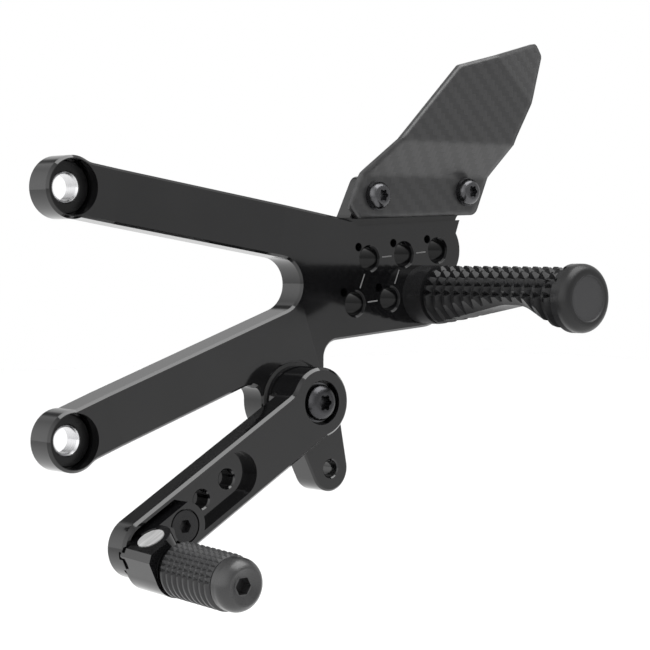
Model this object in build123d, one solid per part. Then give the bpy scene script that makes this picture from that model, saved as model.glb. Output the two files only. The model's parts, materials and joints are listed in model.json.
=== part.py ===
"""Gear-side rear set for a motorcycle: hanger plate, foot peg, heel guard and shift lever.

X runs rearward, Y inboard, Z up, in millimetres. The origin is midway between the two frame bolts,
on the faces that seat on the bike. Heights called low and high are measured outboard, along -Y.
"""

import os
from math import asin, atan2, cos, degrees, hypot, pi, radians, sin, sqrt, tan

from build123d import *

# Frame bolts and their bosses
BOLT_SPACING = 80.0
BOLT_R = 4.25
BOSS_R = 10.05
BOSS_SINK_R = 9.0
BOSS_SINK = 6.3
COLLAR_R = 8.6
COLLAR_FLANGE = 1.5
COLLAR_BODY_R = 6.0
COLLAR_LEAD = 1.0
COLLAR_EDGE = 0.4

# Hanger plate
PLATE = 11.0
PAD_STEP = 4.0
PAD_TOP = PLATE + PAD_STEP
EDGE_CHAMFER = 0.8
BACK_CHAMFER = 0.7
UPPER_ARM_ANGLE = -9.4
UPPER_ARM_ABOVE = 9.0
UPPER_ARM_BELOW = 9.0
LOWER_ARM_ANGLE = 19.7
LOWER_ARM_ABOVE = 9.85
LOWER_ARM_BELOW = 9.3
CROTCH_R = 9.3
ARM_START = 17.0
UPPER_ARM_END = 82.0
LOWER_ARM_END = 98.5
PAD_LOBE_R = 11.7
TAB_FOOT = 113.0

# Peg positions on the pad
PEG_FIRST = (113.4, 1.4)
PEG_ALONG = (16.3, 1.4)
PEG_ACROSS = (6.7, 15.65)
PEG_HOLE_R = 4.2
PEG_HOLE_EDGE = 0.6
PIN_OFFSET = (-5.17, 4.03)
PIN_R = 1.5
PIN_DEPTH = 6.0
MARK_WIDTH = 0.7
MARK_DEPTH = 0.3
MARK_GAP = 1.6

# Heel guard
GUARD = 2.0
GUARD_FACE = 12.0
GUARD_STEP = 7.5
GUARD_BOLTS = ((124.3, 39.2), (167.9, 41.2))
GUARD_BEND_LOW = 47.0
GUARD_BEND_HIGH = 59.0
GUARD_FOLD = ((177.0, 89.6), (192.6, 75.2))
GUARD_FOLD_ANGLE = 13.0
M5_R = 2.5
M5_HEAD_R = 4.75
M5_HEAD = 2.75
M5_DRIVE = 4.4
M5_WASHER_R = 5.1
M5_WASHER = 0.8

# Foot peg
PEG_R = 10.4
PEG_CORE_R = 7.8
PEG_COLLAR = 9.0
PEG_RINGS = 13
PEG_RING_PITCH = 4.75
PEG_ROWS = 18
PEG_ROW_TURN = 4.4
PEG_TOOTH = 2.0
PEG_TOOTH_TIP = 1.1
PEG_FLANGE_R = 11.5
PEG_FLANGE = 4.5
PEG_CAP = 4.0
PEG_CAP_FACE_R = 7.8
PEG_CAP_STEM_R = 5.0
PEG_CAP_STEM = 8.0
PEG_BELLY = 2.6
PEG_BELLY_SIDE = 6.9
M8_R = 4.0
M8_HEAD_R = 7.0
M8_HEAD = 4.4
M8_DRIVE = 5.0
M8_REACH = 20.0
M8_WASHER_R = 8.0
M8_WASHER = 1.6

# Shift lever
PIVOT = (86.5, -30.9)
LUG_R = 13.2
LUG_FACE = 13.6
LUG_SINK_R = 13.8
LEVER_FACE = 29.0
LEVER = 8.5
LEVER_ANGLE = 30.1
LEVER_DROP = 1.3
LEVER_LENGTH = 82.7
LEVER_HALF = 10.0
LEVER_CHAMFER = 0.9
HUB_R = 11.8
HUB_BACK = LUG_FACE + 0.5
HEAD_SINK_R = 7.5
HEAD_SINK = 3.6
POCKET_START = 41.7
POCKET_ACROSS = 0.4
POCKET_HALF = 7.7
POCKET_LEDGE = 1.6
POCKET_LEDGE_WIDTH = 0.6
POCKET = 3.9
CARRIER_HOLES = (44.0, 55.8, 69.6)
CARRIER_HOLE_FLOOR = 1.2
LINK_HOLE = (8.0, -23.1)
LINK_R = 7.7
LINK_FACE = LEVER_FACE - 5.0
LINK_CHAMFER = 0.6
M6_R = 3.0
M6_HEAD_R = 6.1
M6_HEAD = 3.6
M6_DRIVE = 5.6
M6_WASHER_R = 6.7
M6_WASHER = 1.2

# Pivot bearings
BEARING_R = 8.0
BEARING_BORE_R = 4.0
BEARING = 4.0
BEARING_STOP = 1.4
BEARING_STOP_R = 6.3
BALL_R = 1.19
BALLS = 8
RACE_GAP = 0.8
SLEEVE_STEP_R = 5.2
SEAL_R = 12.9
SEAL_BORE_R = 8.6
SEAL = 0.3

# Folding toe peg, its lengths measured along it from the fold pin
TOE_ALONG = 83.4
TOE_ACROSS = -4.6
TOE_LEAN = 2.6
TOE_FOLD = 45.0
TOE_R = 8.9
KNUCKLE_R = 9.2
KNUCKLE_LOW = -7.2
KNUCKLE_HIGH = 8.3
TOE_PIN_HEIGHT = 34.0
TOE_PIN_R = 2.5
TOE_PIN_HEAD_R = 4.4
TOE_PIN_HEAD = 1.0
KNUCKLE_TOP = 10.0
KNUCKLE_TOP_HALF = 6.6
KNUCKLE_BEVEL = 2.0
PIN_HEAD_SINK = 0.8
TONGUE_HALF = 3.3
TONGUE_R = 6.0
TONGUE_GAP = 0.4
BARREL_LOW = 9.6
BARREL_HIGH = 34.4
BARREL_RINGS = 9
BARREL_TOOTH = 0.9
BARREL_GROOVES = 10
BARREL_GROOVE_PITCH = 12.0
TOE_END = 41.6
TOE_END_R = 8.3
TOE_DISH_R = 5.5
TOE_DRIVE = 5.0
SPINDLE_R = 4.5

# Toe peg carrier
CARRIER_TOP = LEVER_FACE + 3.5
CARRIER_HALF = 6.3
CARRIER_ACROSS = -0.1
CARRIER_END_R = 7.8
CARRIER_HEAD_R = 5.1
CARRIER_HEAD = 3.0
CARRIER_HEAD_GAP = 0.5
CARRIER_DRIVE = 4.0

CLEAR = 0.05
LOOSE = 0.2
FAR = 200.0


def slab(face, low, high):
    """Extrude a flat shape drawn in X and Z between two heights outboard of the seat."""
    return extrude(Plane.XZ.offset(low) * face, high - low)


def disc(at, radius, low, high):
    """Cylinder square to the plate."""
    return slab(Pos(*at) * Circle(radius), low, high)


def cone(at, low_r, high_r, low, high):
    """Cone square to the plate, from one radius to another."""
    profile = Polyline((0, low), (low_r, low), (high_r, high), (0, high), close=True)
    return turned(at, make_face(profile))


def turned(at, profile):
    """Turn a profile of (radius, height) about an axis square to the plate."""
    upright = Plane(origin=(at[0], 0, at[1]), x_dir=(1, 0, 0), z_dir=(0, 0, -1))
    return revolve(upright * profile, Axis((at[0], 0, at[1]), (0, -1, 0)))


def rounded(corners):
    """Closed flat shape through (x, z, radius) corners."""
    starts, ends, arcs = [], [], []
    count = len(corners)
    for i, (x, z, r) in enumerate(corners):
        before, after = corners[i - 1], corners[(i + 1) % count]
        p = Vector(x, z)
        a = (Vector(before[0], before[1]) - p).normalized()
        b = (Vector(after[0], after[1]) - p).normalized()
        if r == 0:
            starts.append(p)
            ends.append(p)
            continue
        half = radians(a.get_angle(b)) / 2
        middle = (a + b).normalized()
        starts.append(p + a * (r / tan(half)))
        ends.append(p + b * (r / tan(half)))
        arcs.append(ThreePointArc(starts[-1], p + middle * (r / sin(half) - r), ends[-1]))
    lines = [Line(ends[i - 1], starts[i]) for i in range(count)]
    return make_face(lines + arcs)


def nearest(vertices, at):
    return min(vertices, key=lambda v: hypot(v.X - at[0], v.Y - at[1]))


def tangent_point(start, centre, radius):
    """Where a line from a start passes under a circle and touches it."""
    run = Vector(*centre) - Vector(*start)
    turn = atan2(run.Y, run.X) - asin(radius / run.length)
    reach = sqrt(run.length**2 - radius**2)
    return (start[0] + reach * cos(turn), start[1] + reach * sin(turn))


def hexagon(across):
    return RegularPolygon(across / 2, 6, major_radius=False)


def star(across):
    """Six-lobed drive recess."""
    lobes = Circle(across * 0.39)
    for i in range(6):
        lobes += Rot(0, 0, 60 * i) * Pos(across * 0.37, 0) * Circle(across * 0.13)
    return lobes


def dome_head(radius, height, low):
    """Profile of a rounded screw head standing on a height."""
    top = low + height
    flat = radius * 0.45
    edge = low + height * 0.3
    lines = Polyline((0, top), (0, low), (radius, low), (radius, edge))
    arc = ThreePointArc((radius, edge), (radius * 0.84, low + height * 0.78), (flat, top))
    return make_face(lines + arc + Line((flat, top), (0, top)))


def along_lever(along, across=0.0):
    """Point on the lever: along its arm from the pivot, and up across it from the arm's middle line."""
    a = radians(LEVER_ANGLE)
    up = across - LEVER_DROP
    return (
        PIVOT[0] - along * cos(a) - up * sin(a),
        PIVOT[1] - along * sin(a) + up * cos(a),
    )


def countersink(at, radius, size, top):
    """Small cone that breaks the rim of a hole whose face is at a height."""
    return cone(at, radius, radius + size, top - size, top + 0.001)


def vee(radius, depth, half):
    """Flat V cut into the right-hand side of a circle."""
    lip = radius + depth * 0.2
    return make_face(Polyline((radius - depth, 0), (lip, half * 1.2), (lip, -half * 1.2), close=True))


def ring_profile(radius, depth, tip, low, pitch, count):
    """Profile of a round bar with ridges round it, as (radius, height)."""
    points = [(0, low)]
    for i in range(count):
        start = low + i * pitch
        foot = 0.12 * pitch
        points += [
            (radius - depth, start + (foot if i else 0)),
            (radius, start + (pitch - tip) / 2),
            (radius, start + (pitch + tip) / 2),
            (radius - depth, start + pitch - (foot if i < count - 1 else 0)),
        ]
    points.append((0, low + count * pitch))
    return make_face(Polyline(*points, close=True))


def save(shape, node):
    export_step(shape, f"parts/{node}.step")


os.makedirs("parts", exist_ok=True)

upper_bolt = (0, BOLT_SPACING / 2)
lower_bolt = (0, -BOLT_SPACING / 2)
holes = [
    (
        PEG_FIRST[0] + i * PEG_ALONG[0] + j * PEG_ACROSS[0],
        PEG_FIRST[1] + i * PEG_ALONG[1] + j * PEG_ACROSS[1],
    )
    for j in range(2)
    for i in range(3)
]
pins = [(x + PIN_OFFSET[0], z + PIN_OFFSET[1]) for x, z in holes]
peg_at = holes[2]
peg_pin_at = pins[2]

# Plate outline
upper_top = upper_bolt[1] + UPPER_ARM_ABOVE
lower_low = lower_bolt[1] - LOWER_ARM_BELOW
upper_slope = tan(radians(UPPER_ARM_ANGLE))
lower_slope = tan(radians(LOWER_ARM_ANGLE))
lug_left = PIVOT[0] - LUG_R
lug_right = PIVOT[0] + LUG_R
pad_corner = (lug_right, -11.4)
outer = rounded(
    [
        (0, upper_top, 0),
        (TAB_FOOT, upper_top + TAB_FOOT * upper_slope, 3),
        (120.8, 46.0, 4),
        (173.6, 47.2, 4),
        (173.0, 38.0, 4),
        (164.8, 32.0, 3),
        (162.0, 24.6, 0),
        (154.0, 16.0, 0),
        (151.0, 0.0, 0),
        (*tangent_point(pad_corner, peg_at, PAD_LOBE_R), 0),
        (*pad_corner, 6),
        (lug_right, PIVOT[1], 0),
        (lug_left, PIVOT[1], 0),
        (lug_left, lower_low + lug_left * lower_slope, 5),
        (0, lower_low, 0),
    ]
)
notch_upper = upper_bolt[1] - UPPER_ARM_BELOW
notch_lower = lower_bolt[1] + LOWER_ARM_ABOVE
tip_x = (notch_upper - notch_lower) / (lower_slope - upper_slope)
notch = rounded(
    [
        (-40, notch_upper - 40 * upper_slope, 0),
        (tip_x, notch_upper + tip_x * upper_slope, CROTCH_R),
        (-40, notch_lower - 40 * lower_slope, 0),
    ]
)
outline = outer - notch
for at, r in (
    (upper_bolt, BOSS_R),
    (lower_bolt, BOSS_R),
    (holes[5], PAD_LOBE_R),
    (peg_at, PAD_LOBE_R),
    (PIVOT, LUG_R),
):
    outline += Pos(*at) * Circle(r)
for at, r in (((4.8, 48.4), 8), ((5.0, -48.0), 8), ((156.7, 8.6), 3)):
    outline = fillet(nearest(outline.vertices(), at), r)


def eased(piece):
    """Chamfer the rims of the outer and the inner face of a piece of plate."""
    for outward, size in ((1, EDGE_CHAMFER), (-1, BACK_CHAMFER)):
        face = max(piece.faces(), key=lambda f: -f.normal_at().Y * outward)
        piece = chamfer(face.edges(), size)
    return piece


def across_arm(at, angle, corners):
    """Prism across an arm, drawn with x along the arm from its bolt and y outboard."""
    a = radians(angle)
    plane = Plane(origin=(at[0], 0, at[1]), x_dir=(cos(a), 0, sin(a)), z_dir=(sin(a), 0, -cos(a)))
    return extrude(plane * make_face(Polyline(*corners, close=True)), FAR, both=True)


def arm_span(at, angle, start, end):
    """Everything between two places along an arm."""
    return across_arm(at, angle, [(start, -FAR), (end, -FAR), (end, FAR), (start, FAR)])


# Hanger plate: both arms step out to the pad, which carries the peg, the guard and the lever lug
above = Box(FAR * 4, FAR * 4, FAR, align=(Align.CENTER, Align.CENTER, Align.MIN))
seam = 7.0
overlap = 8.0
boss_level = eased(slab(outline, 0, PLATE))
pad_level = eased(slab(outline, PAD_STEP, PAD_TOP))
blank = slab(outline, -20, 40)
pieces = []
for half, at, angle, arm_end in (
    (Pos(0, 0, seam) * above, upper_bolt, UPPER_ARM_ANGLE, UPPER_ARM_END),
    (Pos(0, 0, seam - FAR) * above, lower_bolt, LOWER_ARM_ANGLE, LOWER_ARM_END),
):
    rise = PAD_STEP / (arm_end - ARM_START)
    slant_start, slant_end = ARM_START - overlap, arm_end + overlap
    low, high = -overlap * rise, PAD_STEP + overlap * rise
    corners = [(slant_start, low), (slant_end, high), (slant_end, high + PLATE), (slant_start, low + PLATE)]
    slant = across_arm(at, angle, corners)
    pieces.append(boss_level & half & arm_span(at, angle, -FAR, ARM_START))
    pieces.append(eased(blank & half & slant) & arm_span(at, angle, ARM_START, arm_end))
    pieces.append(pad_level & half & arm_span(at, angle, arm_end, FAR * 2))
plate = pieces[0].fuse(*pieces[1:], tol=0.006).clean()
rebate = make_face(
    Polyline((103, 35.4), (110.8, 30.9), (114.6, 28.4), (190, 32.2), (190, 70), (103, 70), close=True)
)
plate -= slab(rebate, GUARD_FACE, 40)
plate -= disc(PIVOT, LUG_SINK_R, LUG_FACE, 40)
plate -= disc(PIVOT, M6_R + CLEAR, -10, 40)
collar_low = PLATE - BOSS_SINK
for at in (upper_bolt, lower_bolt):
    plate -= disc(at, BOSS_SINK_R, collar_low, 40)
    plate -= disc(at, COLLAR_BODY_R + CLEAR, -10, 40)
for at in holes:
    plate -= disc(at, PEG_HOLE_R, -10, 40)
    plate -= countersink(at, PEG_HOLE_R, PEG_HOLE_EDGE, PAD_TOP)
for at in pins:
    plate -= disc(at, PIN_R, PAD_TOP - PIN_DEPTH, 40)
for at in GUARD_BOLTS:
    plate -= disc(at, M5_R + CLEAR, -10, 40)
for first, second in ((0, 1), (3, 4), (4, 5), (0, 3), (1, 4)):
    a, b = Vector(*holes[first]), Vector(*holes[second])
    length = (b - a).length - 2 * (PEG_HOLE_R + MARK_GAP)
    mark = Rot(0, 0, degrees(atan2(b.Y - a.Y, b.X - a.X))) * Rectangle(length, MARK_WIDTH)
    plate -= slab(Pos((a.X + b.X) / 2, (a.Y + b.Y) / 2) * mark, PAD_TOP - MARK_DEPTH, 40)
save(plate, "hanger_plate")

# Flanged collars that the frame bolts pass through
collars = []
collar_top = collar_low + COLLAR_FLANGE
collar_profile = make_face(
    Polyline(
        (BOLT_R, 0),
        (COLLAR_BODY_R, 0),
        (COLLAR_BODY_R, collar_low),
        (COLLAR_R, collar_low),
        (COLLAR_R, collar_top - COLLAR_EDGE),
        (COLLAR_R - COLLAR_EDGE, collar_top),
        (BOLT_R + COLLAR_LEAD, collar_top),
        (BOLT_R, collar_top - COLLAR_LEAD),
        close=True,
    )
)
for at in (upper_bolt, lower_bolt):
    collars.append(turned(at, collar_profile))
save(Compound(children=collars), "frame_bolt_collars")

# Heel guard: one sheet with a step outboard and its far corner bent in
guard_outline = rounded(
    [
        (116.0, 30.9, 2),
        (111.9, 35.4, 2.5),
        (117.6, 46.8, 20),
        (129.3, 59.2, 30),
        (157.6, 86.2, 3),
        (201.4, 96.8, 2),
        (204.2, 92.2, 2),
        (195.0, 75.4, 30),
        (186.2, 61.2, 20),
        (179.6, 48.4, 20),
        (172.6, 32.8, 4),
    ]
)
inner_line = [
    (0, GUARD_FACE),
    (GUARD_BEND_LOW, GUARD_FACE),
    (GUARD_BEND_HIGH, GUARD_FACE + GUARD_STEP),
    (FAR, GUARD_FACE + GUARD_STEP),
]
setback = GUARD * tan(atan2(GUARD_STEP, GUARD_BEND_HIGH - GUARD_BEND_LOW) / 2)
outer_line = [
    (FAR, GUARD_FACE + GUARD_STEP + GUARD),
    (GUARD_BEND_HIGH - setback, GUARD_FACE + GUARD_STEP + GUARD),
    (GUARD_BEND_LOW - setback, GUARD_FACE + GUARD),
    (0, GUARD_FACE + GUARD),
]
guard_side = Plane(origin=(0, 0, 0), x_dir=(0, 0, 1), z_dir=(1, 0, 0))
bent = extrude(guard_side * make_face(Polyline(*inner_line, *outer_line, close=True)), FAR * 2, both=True)
fold_a, fold_b = GUARD_FOLD
crease_way = Vector(fold_b[0] - fold_a[0], 0, fold_b[1] - fold_a[1]).normalized()
out_way = Vector(-crease_way.Z, 0, crease_way.X)
crease_plane = Plane(origin=(fold_a[0], 0, fold_a[1]), x_dir=out_way, z_dir=crease_way)
drop = FAR * tan(radians(GUARD_FOLD_ANGLE))
flat = GUARD_FACE + GUARD_STEP
crease_profile = make_face(
    Polyline(
        (-FAR, flat),
        (0, flat),
        (FAR, flat - drop),
        (FAR, flat - drop + GUARD),
        (0, flat + GUARD),
        (-FAR, flat + GUARD),
        close=True,
    )
)
creased = extrude(crease_plane * crease_profile, FAR, both=True)
guard_blank = slab(guard_outline, -20, 60)
guard_seam = GUARD_BEND_HIGH + 4
guard = guard_blank & bent & Pos(0, 0, guard_seam - FAR) * above
guard += guard_blank & creased & Pos(0, 0, guard_seam) * above
for at in GUARD_BOLTS:
    guard -= disc(at, M5_R + LOOSE, -20, 60)
save(guard, "heel_guard")

# Guard washers and screws
washers, screws = [], []
washer_low = GUARD_FACE + GUARD
washer_top = washer_low + M5_WASHER
for at in GUARD_BOLTS:
    washers.append(disc(at, M5_WASHER_R, washer_low, washer_top) - disc(at, M5_R + LOOSE, 0, 40))
    screw = turned(at, dome_head(M5_HEAD_R, M5_HEAD, washer_top))
    screw += disc(at, M5_R, PAD_STEP + 0.5, washer_top)
    screws.append(screw - slab(Pos(*at) * star(M5_DRIVE), washer_top + 1.0, 40))
save(Compound(children=washers), "heel_guard_washers")
save(Compound(children=screws), "heel_guard_screws")

# Foot peg: smooth root collar, rings of teeth, hollowed belly and a flared end
collar_high = PAD_TOP + PEG_COLLAR
teeth_high = collar_high + PEG_RINGS * PEG_RING_PITCH
flange_high = teeth_high + PEG_FLANGE

row_pitch = 360 / PEG_ROWS
peg_round = Circle(PEG_R)
for i in range(PEG_ROWS // 2 + 1):
    turn = PEG_ROW_TURN - row_pitch / 2 + i * row_pitch
    peg_round -= Rot(0, 0, turn) * vee(PEG_R, PEG_TOOTH, (row_pitch * pi / 180 * PEG_R - PEG_TOOTH_TIP) / 2)
rings = ring_profile(PEG_R, PEG_TOOTH, PEG_TOOTH_TIP, collar_high, PEG_RING_PITCH, PEG_RINGS)
peg = slab(Pos(*peg_at) * peg_round, collar_high - 1, teeth_high + 1) & turned(peg_at, rings)
peg_core = make_face(
    Polyline(
        (0, PAD_TOP),
        (PEG_R, PAD_TOP),
        (PEG_R, collar_high),
        (PEG_CORE_R, collar_high),
        (PEG_CORE_R, teeth_high - 1.5),
        (PEG_FLANGE_R, teeth_high + 2.0),
        (PEG_FLANGE_R, flange_high),
        (0, flange_high),
        close=True,
    )
)
peg += turned(peg_at, peg_core)
for i in range(7):
    slot = Rot(0, 0, 30 * i) * Pos(PEG_FLANGE_R + 0.4, 0) * Rectangle(4.4, 2.2)
    peg -= slab(Pos(*peg_at) * slot, teeth_high - 3.0, flange_high - 1.2)


def belly_cut(depth, turn):
    """Hollow under the peg, rising from the collar to its shallowest place and down to the end."""
    low, high = collar_high - 2.5, teeth_high + 2.5
    waist, end = teeth_high - 24.0, teeth_high - 14.0
    shape = rounded(
        [
            (low, PEG_R + 0.2, 0),
            (waist, depth, 20),
            (end, depth, 14),
            (high, PEG_FLANGE_R + 0.6, 0),
            (high, PEG_R + 20, 0),
            (low, PEG_R + 20, 0),
        ]
    )
    a = radians(turn)
    plane = Plane(origin=(peg_at[0], 0, peg_at[1]), x_dir=(0, -1, 0), z_dir=(-sin(a), 0, cos(a)))
    return extrude(plane * shape, 40, both=True)


peg -= belly_cut(PEG_BELLY, -90)
peg -= belly_cut(PEG_BELLY_SIDE, -45)
peg -= belly_cut(PEG_BELLY_SIDE, -135)
peg -= disc(peg_at, M8_R + CLEAR, PAD_TOP - 1, PAD_TOP + M8_REACH + 2)
peg -= disc(peg_pin_at, PIN_R, PAD_TOP - 1, PAD_TOP + PIN_DEPTH - 1)
peg -= disc(peg_at, PEG_CAP_STEM_R + CLEAR, flange_high - PEG_CAP_STEM - 1, flange_high + 1)
save(peg, "foot_peg")

# Plastic end cap pressed into the peg
cap_high = flange_high + PEG_CAP
cap_round = 3.0
cap_lip = 0.4
stem_low = flange_high - PEG_CAP_STEM
cap_shoulder = PEG_FLANGE_R - cap_round
cap_bulge = cap_round * (1 - cos(pi / 4))
cap_profile = make_face(
    Polyline(
        (0, stem_low),
        (PEG_CAP_STEM_R, stem_low),
        (PEG_CAP_STEM_R, flange_high),
        (PEG_FLANGE_R, flange_high),
        (PEG_FLANGE_R, cap_high - cap_round),
    )
    + ThreePointArc(
        (PEG_FLANGE_R, cap_high - cap_round),
        (PEG_FLANGE_R - cap_bulge, cap_high - cap_bulge),
        (cap_shoulder, cap_high),
    )
    + Polyline(
        (cap_shoulder, cap_high),
        (PEG_CAP_FACE_R, cap_high),
        (PEG_CAP_FACE_R - cap_lip, cap_high - cap_lip),
        (0, cap_high - cap_lip),
        (0, stem_low),
    )
)
save(turned(peg_at, cap_profile), "peg_end_cap")

# Peg bolt from the inboard side, its washer and the pin that stops the peg turning
peg_washer_low = PAD_STEP - M8_WASHER
peg_bolt = disc(peg_at, M8_R, peg_washer_low, PAD_TOP + M8_REACH)
peg_bolt += mirror(turned(peg_at, dome_head(M8_HEAD_R, M8_HEAD, -peg_washer_low)), Plane.XZ)
peg_bolt -= slab(Pos(*peg_at) * hexagon(M8_DRIVE), -10, peg_washer_low - 1.6)
save(peg_bolt, "peg_bolt")
peg_washer = disc(peg_at, M8_WASHER_R, peg_washer_low, PAD_STEP) - disc(peg_at, M8_R + LOOSE, -10, 40)
save(peg_washer, "peg_washer")
save(disc(peg_pin_at, PIN_R, PAD_TOP - PIN_DEPTH + 0.5, PAD_TOP + PIN_DEPTH - 1.5), "peg_locating_pin")

# Shift lever: arm, hub and linkage arm from one billet
lever_tip = along_lever(LEVER_LENGTH)
lever_turn = Rot(0, 0, LEVER_ANGLE)
arm_bar = Pos(*along_lever(LEVER_LENGTH / 2)) * lever_turn * Rectangle(LEVER_LENGTH, 2 * LEVER_HALF)
arm_face = arm_bar + Pos(*lever_tip) * Circle(LEVER_HALF) + Pos(*PIVOT) * Circle(HUB_R)
for across in (LEVER_HALF, -LEVER_HALF):
    reach = sqrt(HUB_R**2 - (across - LEVER_DROP) ** 2)
    arm_face = fillet(nearest(arm_face.vertices(), along_lever(reach, across)), 9)
link_at = (PIVOT[0] + LINK_HOLE[0], PIVOT[1] + LINK_HOLE[1])
link_round = (Pos(*link_at) * Circle(LINK_R)).edges()
link_face = make_hull((Pos(*PIVOT) * Circle(HUB_R - 0.6)).edges() + link_round)
lever = slab(arm_face, LEVER_FACE - LEVER, LEVER_FACE)
lever = chamfer(lever.faces().sort_by(Axis.Y)[0].edges(), LEVER_CHAMFER)
link = slab(link_face, HUB_BACK, LINK_FACE)
link = chamfer(link.faces().sort_by(Axis.Y)[0].edges(), LINK_CHAMFER)
lever += disc(PIVOT, HUB_R, HUB_BACK, LEVER_FACE - 2) + link
pocket_at = Pos(*along_lever((POCKET_START + LEVER_LENGTH) / 2, POCKET_ACROSS)) * lever_turn
pocket_run = LEVER_LENGTH - POCKET_START
for half, depth in ((POCKET_HALF, POCKET_LEDGE), (POCKET_HALF - POCKET_LEDGE_WIDTH, POCKET)):
    lever -= slab(pocket_at * SlotOverall(pocket_run + 2 * half, 2 * half), LEVER_FACE - depth, 60)
pocket_floor = LEVER_FACE - POCKET
hole_floor = LEVER_FACE - LEVER + CARRIER_HOLE_FLOOR
for along in CARRIER_HOLES:
    at = along_lever(along)
    lever -= disc(at, M6_R, hole_floor, 60)
    lever -= countersink(at, M6_R, 0.5, pocket_floor)
lever -= disc(link_at, M6_R, 0, 60)
lever -= countersink(link_at, M6_R, 0.4, LINK_FACE)
lever -= disc(PIVOT, HEAD_SINK_R, LEVER_FACE - HEAD_SINK, 60)
bearing_stop = LEVER_FACE - HEAD_SINK - BEARING_STOP
lever -= disc(PIVOT, BEARING_R, 0, bearing_stop)
lever -= disc(PIVOT, BEARING_STOP_R, 0, 60)

# Directions of the folding toe peg: along the peg, along its fold pin and up the lever
toe_at = along_lever(TOE_ALONG, TOE_ACROSS)
toe_origin = (toe_at[0], -TOE_PIN_HEIGHT, toe_at[1])
lean, slope = radians(TOE_LEAN), radians(LEVER_ANGLE)
toe_way = Vector(0, -cos(lean), -sin(lean))
pin_way = Vector(-sin(slope), -cos(slope) * sin(lean), cos(slope) * cos(lean))
up_lever = pin_way.cross(toe_way)


def toe_prism(face, low, high):
    """Extrude along the fold pin: drawn with x up the lever and y inboard, from the pin's axis."""
    return extrude(Plane(toe_origin, x_dir=up_lever, z_dir=pin_way).offset(low) * face, high - low)


def toe_slab(face, low, high):
    """Extrude along the toe peg, between two lengths from the fold pin."""
    return extrude(Plane(toe_origin, x_dir=pin_way, z_dir=toe_way).offset(low) * face, high - low)


def toe_turned(profile):
    """Turn a profile of (radius, length from the fold pin) about the toe peg's axis."""
    return revolve(Plane(toe_origin, x_dir=pin_way, z_dir=up_lever) * profile, Axis(toe_origin, toe_way))


def knuckle_face(gap):
    """Section of the carrier's knuckle: round below, flat on top for the fold pin's head."""
    top, flat = KNUCKLE_TOP + gap, KNUCKLE_TOP_HALF + gap
    shoulder, side = top - KNUCKLE_BEVEL, flat + KNUCKLE_BEVEL
    half = [(0, KNUCKLE_R + gap), (shoulder, side), (top, flat)]
    mirrored = [(x, -y) for x, y in reversed(half)]
    return Circle(KNUCKLE_R + gap) + make_face(Polyline(*half, *mirrored, close=True))


lever -= toe_slab(knuckle_face(TONGUE_GAP), KNUCKLE_LOW - TONGUE_GAP, 60)
save(lever, "shift_lever")

# Pivot bearings on a sleeve, clamped by the pivot screw
bearing_lows = {"inboard": HUB_BACK + 0.3, "outboard": bearing_stop - BEARING}
pitch_r = (BEARING_R + BEARING_BORE_R) / 2
for place, low in bearing_lows.items():
    middle = low + BEARING / 2
    groove = turned(PIVOT, Pos(pitch_r, middle) * Circle(BALL_R + CLEAR))
    inner_race = disc(PIVOT, pitch_r - RACE_GAP, low, low + BEARING) - disc(PIVOT, BEARING_BORE_R, 0, 60)
    outer_race = disc(PIVOT, BEARING_R, low, low + BEARING) - disc(PIVOT, pitch_r + RACE_GAP, 0, 60)
    balls = []
    for i in range(BALLS):
        a = 2 * pi * i / BALLS
        ball_at = (PIVOT[0] + pitch_r * cos(a), -middle, PIVOT[1] + pitch_r * sin(a))
        balls.append(Pos(*ball_at) * Sphere(BALL_R))
    save(inner_race - groove, f"{place}_bearing_inner_race")
    save(outer_race - groove, f"{place}_bearing_outer_race")
    save(Compound(children=balls), f"{place}_bearing_balls")
sleeve_high = LEVER_FACE - HEAD_SINK + 0.4
sleeve = disc(PIVOT, BEARING_BORE_R, LUG_FACE, sleeve_high)
sleeve += disc(PIVOT, SLEEVE_STEP_R, LUG_FACE, bearing_lows["inboard"])
save(sleeve - disc(PIVOT, M6_R + 0.1, 0, 60), "pivot_sleeve")
save(disc(PIVOT, SEAL_R, LUG_FACE, LUG_FACE + SEAL) - disc(PIVOT, SEAL_BORE_R, 0, 60), "pivot_seal")
pivot_washer_top = sleeve_high + M6_WASHER
pivot_washer = disc(PIVOT, M6_WASHER_R, sleeve_high, pivot_washer_top)
save(pivot_washer - disc(PIVOT, M6_R + LOOSE, 0, 60), "pivot_washer")
pivot_screw = turned(PIVOT, dome_head(M6_HEAD_R, M6_HEAD, pivot_washer_top))
pivot_screw += disc(PIVOT, M6_R, PAD_STEP + 0.5, pivot_washer_top)
save(pivot_screw - slab(Pos(*PIVOT) * star(M6_DRIVE), pivot_washer_top + 1.4, 60), "pivot_screw")

# Toe peg carrier: a block in the lever's pocket with a fork for the folding peg
screw_at = along_lever(CARRIER_HOLES[2])
block_run = TOE_ALONG - CARRIER_HOLES[2] + 2 * CARRIER_END_R
block_at = Pos(*along_lever((CARRIER_HOLES[2] + TOE_ALONG) / 2, CARRIER_ACROSS)) * lever_turn
block_face = Pos(*screw_at) * Circle(CARRIER_END_R) & block_at * Rectangle(block_run, 2 * CARRIER_HALF)
block_face += block_at * Rectangle(TOE_ALONG - CARRIER_HOLES[2], 2 * CARRIER_HALF)
carrier = slab(block_face, pocket_floor, CARRIER_TOP)
carrier += toe_slab(knuckle_face(0), KNUCKLE_LOW, KNUCKLE_HIGH)
head_low = CARRIER_TOP - CARRIER_HEAD
carrier -= disc(screw_at, CARRIER_HEAD_R + CARRIER_HEAD_GAP, head_low, 60)
carrier -= disc(screw_at, M6_R + LOOSE, 0, 60)
gap_r = TONGUE_R + TONGUE_GAP
fork_gap = Circle(gap_r)
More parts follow.
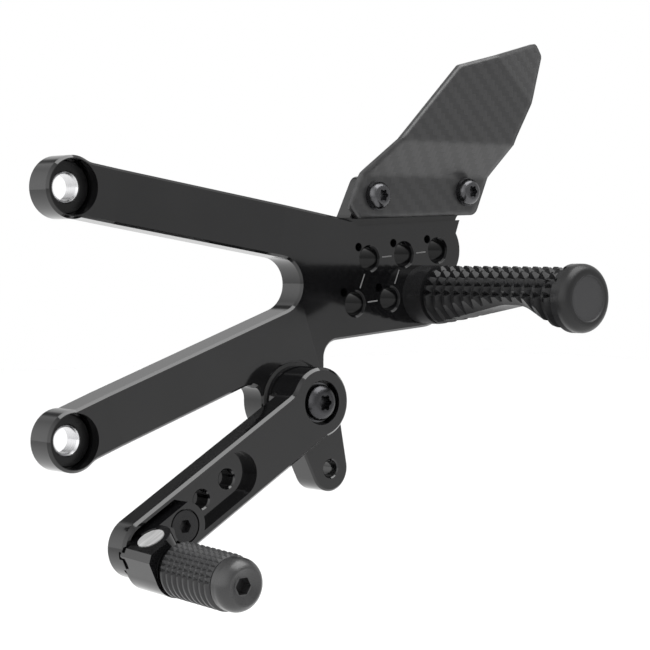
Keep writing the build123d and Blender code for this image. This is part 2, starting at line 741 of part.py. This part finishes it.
for turn in (0, TOE_FOLD):
    fork_gap += Rot(0, 0, turn) * Pos(0, -20) * Rectangle(2 * gap_r, 40)
carrier -= toe_prism(fork_gap, -TONGUE_HALF - LOOSE, TONGUE_HALF + LOOSE)
relief = Pos(20, -20) * Rectangle(40, 40) - Circle(gap_r + LOOSE)
carrier -= toe_prism(relief, -20, 20)
carrier -= toe_prism(Circle(TOE_PIN_R), -20, 20)
pin_seat = KNUCKLE_TOP - PIN_HEAD_SINK
carrier -= toe_prism(Circle(TOE_PIN_HEAD_R + LOOSE), pin_seat, 20)
save(carrier, "toe_carrier")
carrier_screw = disc(screw_at, CARRIER_HEAD_R, head_low, CARRIER_TOP)
carrier_screw += disc(screw_at, M6_R - CLEAR, hole_floor + 0.3, head_low)
carrier_screw -= slab(Pos(*screw_at) * hexagon(CARRIER_DRIVE), CARRIER_TOP - 2, 60)
save(carrier_screw, "toe_carrier_screw")

# Fold pin with a broad flat head
fold_pin = toe_prism(Circle(TOE_PIN_R), -KNUCKLE_R + 1.2, pin_seat)
fold_pin += toe_prism(Circle(TOE_PIN_HEAD_R), pin_seat, pin_seat + TOE_PIN_HEAD)
save(fold_pin, "toe_fold_pin")

# Toe peg base: tongue in the fork, shoulder and spindle
shoulder_low = KNUCKLE_HIGH + TONGUE_GAP
spindle_high = BARREL_HIGH + 0.1
tongue = Circle(TONGUE_R) + Pos(0, -shoulder_low / 2) * Rectangle(2 * TONGUE_R, shoulder_low)
base = toe_prism(tongue, -TONGUE_HALF, TONGUE_HALF) - toe_prism(Circle(TOE_PIN_R + CLEAR), -20, 20)
base += toe_slab(Circle(TOE_R - 1.0), shoulder_low, BARREL_LOW - 0.1)
base += toe_slab(Circle(SPINDLE_R), shoulder_low, spindle_high)
base -= toe_slab(Circle(M6_R + CLEAR), spindle_high - 16, 80)
save(base, "toe_peg_base")

# Grooved barrel: rings all round, cross grooves on its upper side
barrel_pitch = (BARREL_HIGH - BARREL_LOW) / BARREL_RINGS
barrel_round = Circle(TOE_R)
for i in range(BARREL_GROOVES):
    turn = BARREL_GROOVE_PITCH * (i - (BARREL_GROOVES - 1) / 2)
    barrel_round -= Rot(0, 0, turn) * vee(TOE_R, BARREL_TOOTH, 0.7)
ridges = ring_profile(TOE_R, BARREL_TOOTH, 0.8, BARREL_LOW, barrel_pitch, BARREL_RINGS)
barrel = toe_slab(barrel_round, BARREL_LOW - 1, BARREL_HIGH + 1) & toe_turned(ridges)
save(barrel - toe_slab(Circle(SPINDLE_R + CLEAR), 0, 80), "toe_barrel")

# End screw that holds the barrel on, dished round its hexagon
foot = spindle_high + 0.1
brow = TOE_END - 4.6
nose = make_face(
    Polyline((0, foot), (TOE_END_R - 0.9, foot), (TOE_END_R - 0.9, foot + 0.6), (TOE_END_R, foot + 0.6))
    + Line((TOE_END_R, foot + 0.6), (TOE_END_R, brow))
    + ThreePointArc((TOE_END_R, brow), (TOE_END_R - 0.75, TOE_END - 1.4), (TOE_DISH_R + 0.5, TOE_END))
    + Polyline(
        (TOE_DISH_R + 0.5, TOE_END),
        (TOE_DISH_R, TOE_END),
        (TOE_DRIVE / 2 + 0.6, TOE_END - 1.2),
        (0, TOE_END - 1.2),
        (0, foot),
    )
)
end_screw = toe_turned(nose) + toe_slab(Circle(M6_R), foot - 14, foot)
save(end_screw - toe_slab(hexagon(TOE_DRIVE), TOE_END - 4.5, 90), "toe_end_screw")
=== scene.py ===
import json
from math import pi

import bmesh
import bpy
from mathutils import Matrix, Vector


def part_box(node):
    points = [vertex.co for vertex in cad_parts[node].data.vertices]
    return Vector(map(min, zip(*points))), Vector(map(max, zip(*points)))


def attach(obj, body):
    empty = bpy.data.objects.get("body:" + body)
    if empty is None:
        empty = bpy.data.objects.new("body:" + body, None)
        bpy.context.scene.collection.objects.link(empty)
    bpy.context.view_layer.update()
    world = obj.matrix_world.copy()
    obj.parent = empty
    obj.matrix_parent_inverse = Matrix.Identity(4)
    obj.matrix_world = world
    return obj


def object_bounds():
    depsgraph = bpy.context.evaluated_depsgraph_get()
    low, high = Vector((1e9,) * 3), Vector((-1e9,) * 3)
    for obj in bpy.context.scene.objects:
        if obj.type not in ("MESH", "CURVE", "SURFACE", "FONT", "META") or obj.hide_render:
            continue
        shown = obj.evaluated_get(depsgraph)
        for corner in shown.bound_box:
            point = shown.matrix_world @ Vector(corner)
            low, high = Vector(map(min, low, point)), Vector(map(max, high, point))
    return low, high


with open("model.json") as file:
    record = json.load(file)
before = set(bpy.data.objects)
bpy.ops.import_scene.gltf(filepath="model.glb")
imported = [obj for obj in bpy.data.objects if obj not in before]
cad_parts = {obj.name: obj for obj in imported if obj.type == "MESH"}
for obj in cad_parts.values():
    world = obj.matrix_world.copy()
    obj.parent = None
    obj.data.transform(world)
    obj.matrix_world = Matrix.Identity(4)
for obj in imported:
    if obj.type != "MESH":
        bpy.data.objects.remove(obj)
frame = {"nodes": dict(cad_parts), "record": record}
cad_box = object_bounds()
nodes = frame["nodes"]
scene = bpy.context.scene

MM = 0.001

# Camera: the photograph's place, aimed at this object
CAMERA_AT = Vector((-0.3634, -0.5601, 0.0217))
CAMERA_FORWARD = Vector((0.6469193, 0.76160236, -0.03817418))
CAMERA_LENS = 115.48
CAMERA_SENSOR = 36.0
CAMERA_NEAR = 0.01

# Peg positions on the pad and their countersunk holes, as in the part
PEG_FIRST = Vector((113.4, 1.4)) * MM
PEG_ALONG = Vector((16.3, 1.4)) * MM
PEG_ACROSS = Vector((6.7, 15.65)) * MM
PEG_ROWS = 2
PEG_COLUMNS = 3
PEG_HOLE_R = 4.2 * MM
PEG_HOLE_EDGE = 0.6 * MM
PAD_FACE = -15.0 * MM

# Marks that fill the part's grooves between peg positions, their section in shares of width and fill
MARK_PAIRS = ((0, 1), (3, 4), (4, 5), (0, 3), (1, 4))
MARK_WIDTH = 0.50 * MM
MARK_GAP = 1.65 * MM
MARK_DEPTH = 0.3 * MM
MARK_FILL = 0.26 * MM
MARK_SECTION = ((-0.5, 0.0), (-0.5, 0.8), (-0.25, 1.0), (0.25, 1.0), (0.5, 0.8), (0.5, 0.0))

# Dull insides of the peg holes
HOLE_GLOSS = 0.10
HOLE_FADE = 0.1 * MM

# Face of the peg's end cap, beyond which its rim is painted darker as shade, and the bare bores of the
# frame bolt collars
CAP_FACE_R = 7.6 * MM
CAP_RIM = 0.5 * MM
BOLT_HEIGHT = 40.0 * MM
BARE_BORE_R = 4.9 * MM

# Heights above the lowest point of the foot peg between which its finish turns from dull to rubbed
BELLY_DULL = 6.0 * MM
BELLY_RUBBED = 11.0 * MM

# Weave and soft bends of the heel guard
TOW_WIDTH = 1.9 * MM
TWILL_REPEAT = 4.0
TWILL_OVER = 2.0
BEND_SOFTNESS = 3.2 * MM
BEND_SAMPLES = 16

# Noise: features per metre and detail of a broad tone, detail of a fine grain, and where most values lie
BROAD_SCALE = 45.0
BROAD_DETAIL = 4.0
FINE_DETAIL = 2.0
NOISE_LOW = 0.3
NOISE_HIGH = 0.7

# Studio
FLOOR_AT = (0.1, 0.0, -0.30)
FLOOR_SIZE = 8.0
FLOOR_GREY = 0.85
FLOOR_LIFT = 0.10
ROOM_LEVEL = 0.80
ROOM_LEFT = 1.6
ROOM_LEFT_FROM = -0.9
ROOM_LEFT_TO = -0.2
ROOM_SEEN = 1.0
FLAG_WAY = (0.210, 0.785, 0.583)
FLAG_DEPTH = -0.65
FLAG_EDGE = 0.982
FLAG_CORE = 0.996
LAMP_AT = Vector((0.32, -0.42, 0.96))
LAMP_SIZE = 1.0
LAMP_RADIANCE = 5.0


def grey(level, blue=None):
    """Neutral colour, or one with a blue of its own."""
    return (level, level, level if blue is None else blue)


def link(tree, source, target):
    tree.links.new(source, target)


def new_material(name):
    """Material with an empty tree, its principled shader and object coordinates."""
    mat = bpy.data.materials.new(name)
    mat.use_nodes = True
    tree = mat.node_tree
    tree.nodes.clear()
    out = tree.nodes.new("ShaderNodeOutputMaterial")
    bsdf = tree.nodes.new("ShaderNodeBsdfPrincipled")
    link(tree, bsdf.outputs["BSDF"], out.inputs["Surface"])
    coords = tree.nodes.new("ShaderNodeTexCoord")
    return mat, tree, bsdf, coords.outputs["Object"]


def calc(tree, operation, first, second=None):
    """One step of arithmetic on sockets or numbers."""
    node = tree.nodes.new("ShaderNodeMath")
    node.operation = operation
    for socket, value in zip(node.inputs, (first, second)):
        if isinstance(value, (int, float)):
            socket.default_value = value
        elif value is not None:
            link(tree, value, socket)
    return node.outputs["Value"]


def axes(tree, vector):
    """The X, Y and Z of a vector, by name."""
    node = tree.nodes.new("ShaderNodeSeparateXYZ")
    link(tree, vector, node.inputs["Vector"])
    return node.outputs


def noise(tree, vector, scale, detail=FINE_DETAIL, stretch=(1, 1, 1)):
    """Noise in object space, its scale in features per metre."""
    mapping = tree.nodes.new("ShaderNodeMapping")
    mapping.inputs["Scale"].default_value = stretch
    link(tree, vector, mapping.inputs["Vector"])
    tex = tree.nodes.new("ShaderNodeTexNoise")
    tex.inputs["Scale"].default_value = scale
    tex.inputs["Detail"].default_value = detail
    link(tree, mapping.outputs["Vector"], tex.inputs["Vector"])
    return tex.outputs["Fac"]


def ramp(tree, value, low, high, start=NOISE_LOW, end=NOISE_HIGH):
    """Map a value, by default a noise, to a range of numbers."""
    node = tree.nodes.new("ShaderNodeMapRange")
    node.inputs["From Min"].default_value = start
    node.inputs["From Max"].default_value = end
    node.inputs["To Min"].default_value = low
    node.inputs["To Max"].default_value = high
    link(tree, value, node.inputs["Value"])
    return node.outputs["Result"]


def blend(tree, share, low, high):
    """Map a share from 0 to 1 to a range of numbers."""
    return ramp(tree, share, low, high, 0.0, 1.0)


def shade(tree, value, dark, light, start=NOISE_LOW, end=NOISE_HIGH):
    """Map a value, by default a noise, to a colour between two."""
    node = tree.nodes.new("ShaderNodeValToRGB")
    first, last = node.color_ramp.elements
    first.position = start
    first.color = (*dark, 1)
    last.position = end
    last.color = (*light, 1)
    link(tree, value, node.inputs["Fac"])
    return node.outputs["Color"]


def bump(tree, bsdf, height, distance, base=None):
    """Shallow relief on a shader, over a normal of its own if one is given."""
    node = tree.nodes.new("ShaderNodeBump")
    node.inputs["Distance"].default_value = distance
    link(tree, height, node.inputs["Height"])
    if base is not None:
        link(tree, base, node.inputs["Normal"])
    link(tree, node.outputs["Normal"], bsdf.inputs["Normal"])


def from_axis(tree, at, x, z):
    """Distance of a point from an axis along Y."""
    place = axes(tree, at)
    side = calc(tree, "SUBTRACT", place["X"], x)
    rise = calc(tree, "SUBTRACT", place["Z"], z)
    squares = calc(tree, "ADD", calc(tree, "MULTIPLY", side, side), calc(tree, "MULTIPLY", rise, rise))
    return calc(tree, "SQRT", squares)


def peg_place(index):
    """Middle of one peg position in the plane of the pad."""
    row, column = divmod(index, PEG_COLUMNS)
    return PEG_FIRST + column * PEG_ALONG + row * PEG_ACROSS


# Finishes that are fine grain alone: colours, roughness, grains per metre and depth of the relief
FINE_FINISHES = {
    "black_anodised": dict(
        dark=grey(0.0022, 0.0024), light=grey(0.0040, 0.0043), rough=(0.07, 0.11), grain=2600.0, depth=1e-6
    ),
    "matte_anodised": dict(
        dark=grey(0.013, 0.0135), light=grey(0.020, 0.0205), rough=(0.26, 0.36), grain=3000.0, depth=6e-6
    ),
    "satin_anodised": dict(
        dark=grey(0.007, 0.0074), light=grey(0.012, 0.0125), rough=(0.25, 0.33), grain=2800.0, depth=3e-6,
        specular=0.22,
    ),
    "gripped_anodised": dict(
        dark=grey(0.026, 0.027), light=grey(0.038, 0.039), rough=(0.30, 0.40), grain=2800.0, depth=3e-6,
        specular=0.20,
    ),
    "dark_steel": dict(
        dark=grey(0.065, 0.068), light=grey(0.10, 0.104), rough=(0.20, 0.32), grain=2500.0, depth=4e-6,
        metallic=1.0,
    ),
    "black_oxide": dict(
        dark=grey(0.035, 0.037), light=grey(0.055, 0.058), rough=(0.22, 0.34), grain=2500.0, depth=4e-6,
        metallic=1.0,
    ),
    "bright_steel": dict(
        dark=grey(0.60, 0.61), light=grey(0.74, 0.75), rough=(0.16, 0.28), grain=2000.0, depth=1e-6,
        metallic=1.0,
    ),
    "bearing_steel": dict(
        dark=grey(0.60, 0.62), light=grey(0.70, 0.72), rough=(0.08, 0.14), grain=3000.0, depth=1e-6,
        metallic=1.0,
    ),
    "zinc_plate": dict(
        dark=grey(0.40), light=grey(0.74), rough=(0.34, 0.48), grain=900.0, depth=2e-6,
        metallic=0.6, stretch=(1, 14, 1),
    ),
    "seal_rubber": dict(dark=grey(0.012), light=grey(0.02), rough=(0.6, 0.75), grain=1800.0, depth=1.5e-5),
    "etched_line": dict(dark=grey(0.08), light=grey(0.13), rough=(0.5, 0.7), grain=4000.0, depth=6e-6),
}


def fine_finish(name, dark, light, rough, grain, depth, metallic=0.0, specular=0.5, stretch=(1, 1, 1)):
    """Fine-grained surface: broad tone, grain in the gloss and a shallow relief."""
    mat, tree, bsdf, at = new_material(name)
    broad = noise(tree, at, BROAD_SCALE, BROAD_DETAIL, stretch)
    fine = noise(tree, at, grain, FINE_DETAIL, stretch)
    link(tree, shade(tree, broad, dark, light), bsdf.inputs["Base Color"])
    link(tree, ramp(tree, fine, *rough), bsdf.inputs["Roughness"])
    bsdf.inputs["Metallic"].default_value = metallic
    bsdf.inputs["Specular IOR Level"].default_value = specular
    bump(tree, bsdf, fine, depth)
    return mat


def drilled_plate(name):
    """The bright black of the plate, left dull inside the peg holes."""
    mat = fine_finish(name, **FINE_FINISHES["black_anodised"])
    tree = mat.node_tree
    at = tree.nodes["Texture Coordinate"].outputs["Object"]
    specular = tree.nodes["Principled BSDF"].inputs["Specular IOR Level"]
    first = peg_place(0)
    reach = from_axis(tree, at, first.x, first.y)
    for index in range(1, PEG_ROWS * PEG_COLUMNS):
        place = peg_place(index)
        reach = calc(tree, "MINIMUM", reach, from_axis(tree, at, place.x, place.y))
    edge = PEG_HOLE_R + PEG_HOLE_EDGE
    link(tree, ramp(tree, reach, HOLE_GLOSS, specular.default_value, edge - HOLE_FADE, edge), specular)
    return mat


def rubbed_satin(name, lowest):
    """Satin black that stays dull on the belly, where no boot rubs it."""
    satin = FINE_FINISHES["satin_anodised"]
    grain_rough = 0.08
    dull_rough, rubbed_rough = 0.45, 0.24
    dull_gloss = 0.04
    mat, tree, bsdf, at = new_material(name)
    height = axes(tree, at)["Z"]
    rubbed = ramp(tree, height, 0.0, 1.0, lowest + BELLY_DULL, lowest + BELLY_RUBBED)
    fine = noise(tree, at, satin["grain"])
    broad = noise(tree, at, BROAD_SCALE, BROAD_DETAIL)
    link(tree, shade(tree, broad, satin["dark"], satin["light"]), bsdf.inputs["Base Color"])
    grain = ramp(tree, fine, 0.0, grain_rough)
    polish = calc(tree, "ADD", grain, blend(tree, rubbed, dull_rough, rubbed_rough))
    link(tree, polish, bsdf.inputs["Roughness"])
    gloss = blend(tree, rubbed, dull_gloss, satin["specular"])
    link(tree, gloss, bsdf.inputs["Specular IOR Level"])
    bump(tree, bsdf, fine, satin["depth"])
    return mat


def capped_plastic(name, middle):
    """Moulded plastic: a fine matte face on the axis, and a smoother rim round it, drawn darker as painted
    shade of its rounded edge.
    """
    # The rim colour is painted shade: the cap's rounded edge drawn darker than its face
    face_colour, painted_shade_rim_colour = grey(0.024, 0.025), grey(0.005, 0.0053)
    face_rough, rim_rough = 0.60, 0.36
    grain_scale, grain_tone = 3500.0, 0.12
    mat, tree, bsdf, at = new_material(name)
    reach = from_axis(tree, at, middle.x, middle.z)
    rim = ramp(tree, reach, 0.0, 1.0, CAP_FACE_R - CAP_RIM, CAP_FACE_R + CAP_RIM)
    fine = noise(tree, at, grain_scale)
    on_face = calc(tree, "SUBTRACT", 1.0, rim)
    grain = calc(tree, "MULTIPLY", ramp(tree, fine, -grain_tone, grain_tone), on_face)
    tone = calc(tree, "ADD", rim, grain)
    # Colour: fine grain on the face, painted shade on the rim
    link(tree, shade(tree, tone, face_colour, painted_shade_rim_colour, 0.0, 1.0), bsdf.inputs["Base Color"])
    link(tree, blend(tree, tone, face_rough, rim_rough), bsdf.inputs["Roughness"])
    bsdf.inputs["Specular IOR Level"].default_value = 0.3
    bump(tree, bsdf, fine, 1e-5)
    return mat


def bored_collar(name):
    """Black collar whose bore was cut after the finish and shows bare metal."""
    black, metal = grey(0.003, 0.0032), grey(0.62, 0.63)
    turning_scale, turning_stretch = 700.0, (0.2, 8, 0.2)
    turning_share = 0.2
    mat, tree, bsdf, at = new_material(name)
    upper = from_axis(tree, at, 0.0, BOLT_HEIGHT)
    lower = from_axis(tree, at, 0.0, -BOLT_HEIGHT)
    bare = calc(tree, "LESS_THAN", calc(tree, "MINIMUM", upper, lower), BARE_BORE_R)
    turning = noise(tree, at, turning_scale, stretch=turning_stretch)
    bare_tone = calc(tree, "MULTIPLY", bare, 1.0 - turning_share)
    tone = calc(tree, "ADD", bare_tone, calc(tree, "MULTIPLY", turning, turning_share))
    link(tree, shade(tree, tone, black, metal, turning_share, 1.0), bsdf.inputs["Base Color"])
    link(tree, ramp(tree, turning, 0.18, 0.34), bsdf.inputs["Roughness"])
    link(tree, bare, bsdf.inputs["Metallic"])
    bsdf.inputs["Specular IOR Level"].default_value = 0.25
    bump(tree, bsdf, turning, 1e-6)
    return mat


def twill_sheet(name):
    """Carbon twill in the plane of the sheet, its warp tows drawn lighter than its weft as painted sheen,
    under a satin lacquer that softens its bends.
    """
    dark, light = grey(0.008, 0.0085), grey(0.022, 0.0225)
    fibre_scale = 900.0
    mat, tree, bsdf, at = new_material(name)
    place = axes(tree, at)
    across = calc(tree, "DIVIDE", place["X"], TOW_WIDTH)
    along = calc(tree, "DIVIDE", place["Z"], TOW_WIDTH)
    step = calc(tree, "ADD", calc(tree, "FLOOR", across), calc(tree, "FLOOR", along))
    turn = calc(tree, "FLOORED_MODULO", step, TWILL_REPEAT)
    warp_on_top = calc(tree, "LESS_THAN", turn, TWILL_OVER)

    def crown(value):
        """Round back of a tow: one in its middle, nothing at its edges."""
        middle = calc(tree, "SUBTRACT", calc(tree, "FRACT", value), 0.5)
        drop = calc(tree, "MULTIPLY", middle, middle)
        return calc(tree, "SUBTRACT", 1.0, calc(tree, "MULTIPLY", 4.0, drop))

    def either(on_warp, on_weft):
        mix = tree.nodes.new("ShaderNodeMix")
        link(tree, warp_on_top, mix.inputs["Factor"])
        link(tree, on_weft, mix.inputs["A"])
        link(tree, on_warp, mix.inputs["B"])
        return mix.outputs["Result"]

    warp_fibre = noise(tree, at, fibre_scale, stretch=(6, 1, 0.25))
    weft_fibre = noise(tree, at, fibre_scale, stretch=(0.25, 1, 6))
    # Warp tows take lighter colours than weft tows: painted sheen for how the two directions reflect; the
    # streaks within each are fibre grain
    tone = either(ramp(tree, warp_fibre, 0.55, 0.95), ramp(tree, weft_fibre, 0.10, 0.50))
    link(tree, shade(tree, tone, dark, light, 0.0, 1.0), bsdf.inputs["Base Color"])
    link(tree, blend(tree, tone, 0.36, 0.28), bsdf.inputs["Roughness"])
    soft = tree.nodes.new("ShaderNodeBevel")
    soft.samples = BEND_SAMPLES
    soft.inputs["Radius"].default_value = BEND_SOFTNESS
    bump(tree, bsdf, either(crown(across), crown(along)), 1.2e-5, soft.outputs["Normal"])
    return mat


# Each node takes the finish of its slot, or one of its own
cap_low, cap_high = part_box("peg_end_cap")
cap_middle = (Vector(cap_low) + Vector(cap_high)) / 2
peg_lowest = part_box("foot_peg")[0][2]
finishes = {name: fine_finish(name, **values) for name, values in FINE_FINISHES.items()}
finishes["carbon_sheet"] = twill_sheet("carbon_sheet")
finishes["dark_plastic"] = capped_plastic("dark_plastic", cap_middle)
own_finish = {
    "hanger_plate": drilled_plate("drilled_plate"),
    "foot_peg": rubbed_satin("rubbed_satin", peg_lowest),
    "pivot_screw": finishes["black_oxide"],
    "toe_barrel": finishes["gripped_anodised"],
    "toe_carrier_screw": finishes["satin_anodised"],
    "toe_fold_pin": finishes["zinc_plate"],
    "frame_bolt_collars": bored_collar("collar_anodised"),
}
for part in frame["record"]["subparts"]:
    mesh = nodes[part["node"]].data
    mesh.materials.clear()
    mesh.materials.append(own_finish.get(part["node"], finishes[part["material_slot"]]))


def add_mark(mesh, first, second):
    """Crowned strip that fills the groove between two peg positions."""
    start, end = peg_place(first), peg_place(second)
    along = (end - start).normalized()
    side = Vector((-along.y, along.x))
    start = start + along * (PEG_HOLE_R + MARK_GAP)
    end = end - along * (PEG_HOLE_R + MARK_GAP)
    groove_floor = PAD_FACE + MARK_DEPTH
    rings = []
    for point in (start, end):
        ring = []
        for out, rise in MARK_SECTION:
            at = point + side * (out * MARK_WIDTH)
            ring.append(mesh.verts.new((at.x, groove_floor - rise * MARK_FILL, at.y)))
        rings.append(ring)
    near, far = rings
    for i in range(len(MARK_SECTION)):
        j = (i + 1) % len(MARK_SECTION)
        mesh.faces.new((near[i], near[j], far[j], far[i]))
    mesh.faces.new(near[::-1])
    mesh.faces.new(far)


# Light lines between the peg positions
marks_mesh = bmesh.new()
for pair in MARK_PAIRS:
    add_mark(marks_mesh, *pair)
bmesh.ops.recalc_face_normals(marks_mesh, faces=marks_mesh.faces)
marks_data = bpy.data.meshes.new("position_marks")
marks_mesh.to_mesh(marks_data)
marks_mesh.free()
marks_data.materials.append(finishes["etched_line"])
marks = bpy.data.objects.new("position_marks", marks_data)
scene.collection.objects.link(marks)
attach(marks, "hanger")


def pale_floor_material():
    """Pale floor that keeps its shadow, a little lighter for the camera and in mirror images."""
    mat = bpy.data.materials.new("floor")
    mat.use_nodes = True
    tree = mat.node_tree
    tree.nodes.clear()
    out = tree.nodes.new("ShaderNodeOutputMaterial")
    both = tree.nodes.new("ShaderNodeAddShader")
    pale = tree.nodes.new("ShaderNodeBsdfDiffuse")
    pale.inputs["Color"].default_value = (*grey(FLOOR_GREY), 1)
    path = tree.nodes.new("ShaderNodeLightPath")
    seen = calc(tree, "MAXIMUM", path.outputs["Is Camera Ray"], path.outputs["Is Glossy Ray"])
    lift = tree.nodes.new("ShaderNodeEmission")
    link(tree, calc(tree, "MULTIPLY", seen, FLOOR_LIFT), lift.inputs["Strength"])
    link(tree, pale.outputs["BSDF"], both.inputs[0])
    link(tree, lift.outputs["Emission"], both.inputs[1])
    link(tree, both.outputs["Shader"], out.inputs["Surface"])
    return mat


def studio_world():
    """Soft white room, brighter to the left, with a dark flag behind and above; white to the camera."""
    world = bpy.data.worlds.new("studio")
    world.use_nodes = True
    tree = world.node_tree
    background = tree.nodes["Background"]
    background.inputs["Color"].default_value = (1, 1, 1, 1)
    direction = tree.nodes.new("ShaderNodeTexCoord").outputs["Generated"]
    left = ramp(tree, axes(tree, direction)["X"], ROOM_LEFT, 0.0, ROOM_LEFT_FROM, ROOM_LEFT_TO)
    flag = tree.nodes.new("ShaderNodeVectorMath")
    flag.operation = "DOT_PRODUCT"
    flag.inputs[1].default_value = FLAG_WAY
    link(tree, direction, flag.inputs[0])
    dark = ramp(tree, flag.outputs["Value"], 0.0, FLAG_DEPTH, FLAG_EDGE, FLAG_CORE)
    room = calc(tree, "ADD", calc(tree, "ADD", left, dark), ROOM_LEVEL)
    path = tree.nodes.new("ShaderNodeLightPath")
    level = tree.nodes.new("ShaderNodeMix")
    link(tree, path.outputs["Is Camera Ray"], level.inputs["Factor"])
    link(tree, room, level.inputs["A"])
    level.inputs["B"].default_value = ROOM_SEEN
    link(tree, level.outputs["Result"], background.inputs["Strength"])
    return world


# Floor and room
bpy.ops.mesh.primitive_plane_add(size=FLOOR_SIZE, location=FLOOR_AT)
floor = bpy.context.object
floor.name = "floor"
floor.data.materials.append(pale_floor_material())
scene.world = studio_world()
scene.view_settings.view_transform = "Standard"

# Soft lamp above, which also lights the floor under the object
middle = (Vector(cad_box[0]) + Vector(cad_box[1])) / 2
lamp_data = bpy.data.lights.new("overhead", "AREA")
lamp_data.size = LAMP_SIZE
lamp_data.energy = LAMP_RADIANCE * pi * LAMP_SIZE * LAMP_SIZE
lamp = bpy.data.objects.new("overhead", lamp_data)
lamp.location = LAMP_AT
lamp.rotation_euler = (middle - LAMP_AT).to_track_quat("-Z", "Y").to_euler()
scene.collection.objects.link(lamp)

# Camera
camera_data = bpy.data.cameras.new("camera")
camera_data.lens = CAMERA_LENS
camera_data.sensor_width = CAMERA_SENSOR
camera_data.clip_start = CAMERA_NEAR
camera = bpy.data.objects.new("camera", camera_data)
scene.collection.objects.link(camera)
right = CAMERA_FORWARD.cross(Vector((0, 0, 1))).normalized()
up = right.cross(CAMERA_FORWARD).normalized()
facing = Matrix((right, up, -CAMERA_FORWARD)).transposed().to_4x4()
camera.matrix_world = Matrix.Translation(CAMERA_AT) @ facing
scene.camera = camera
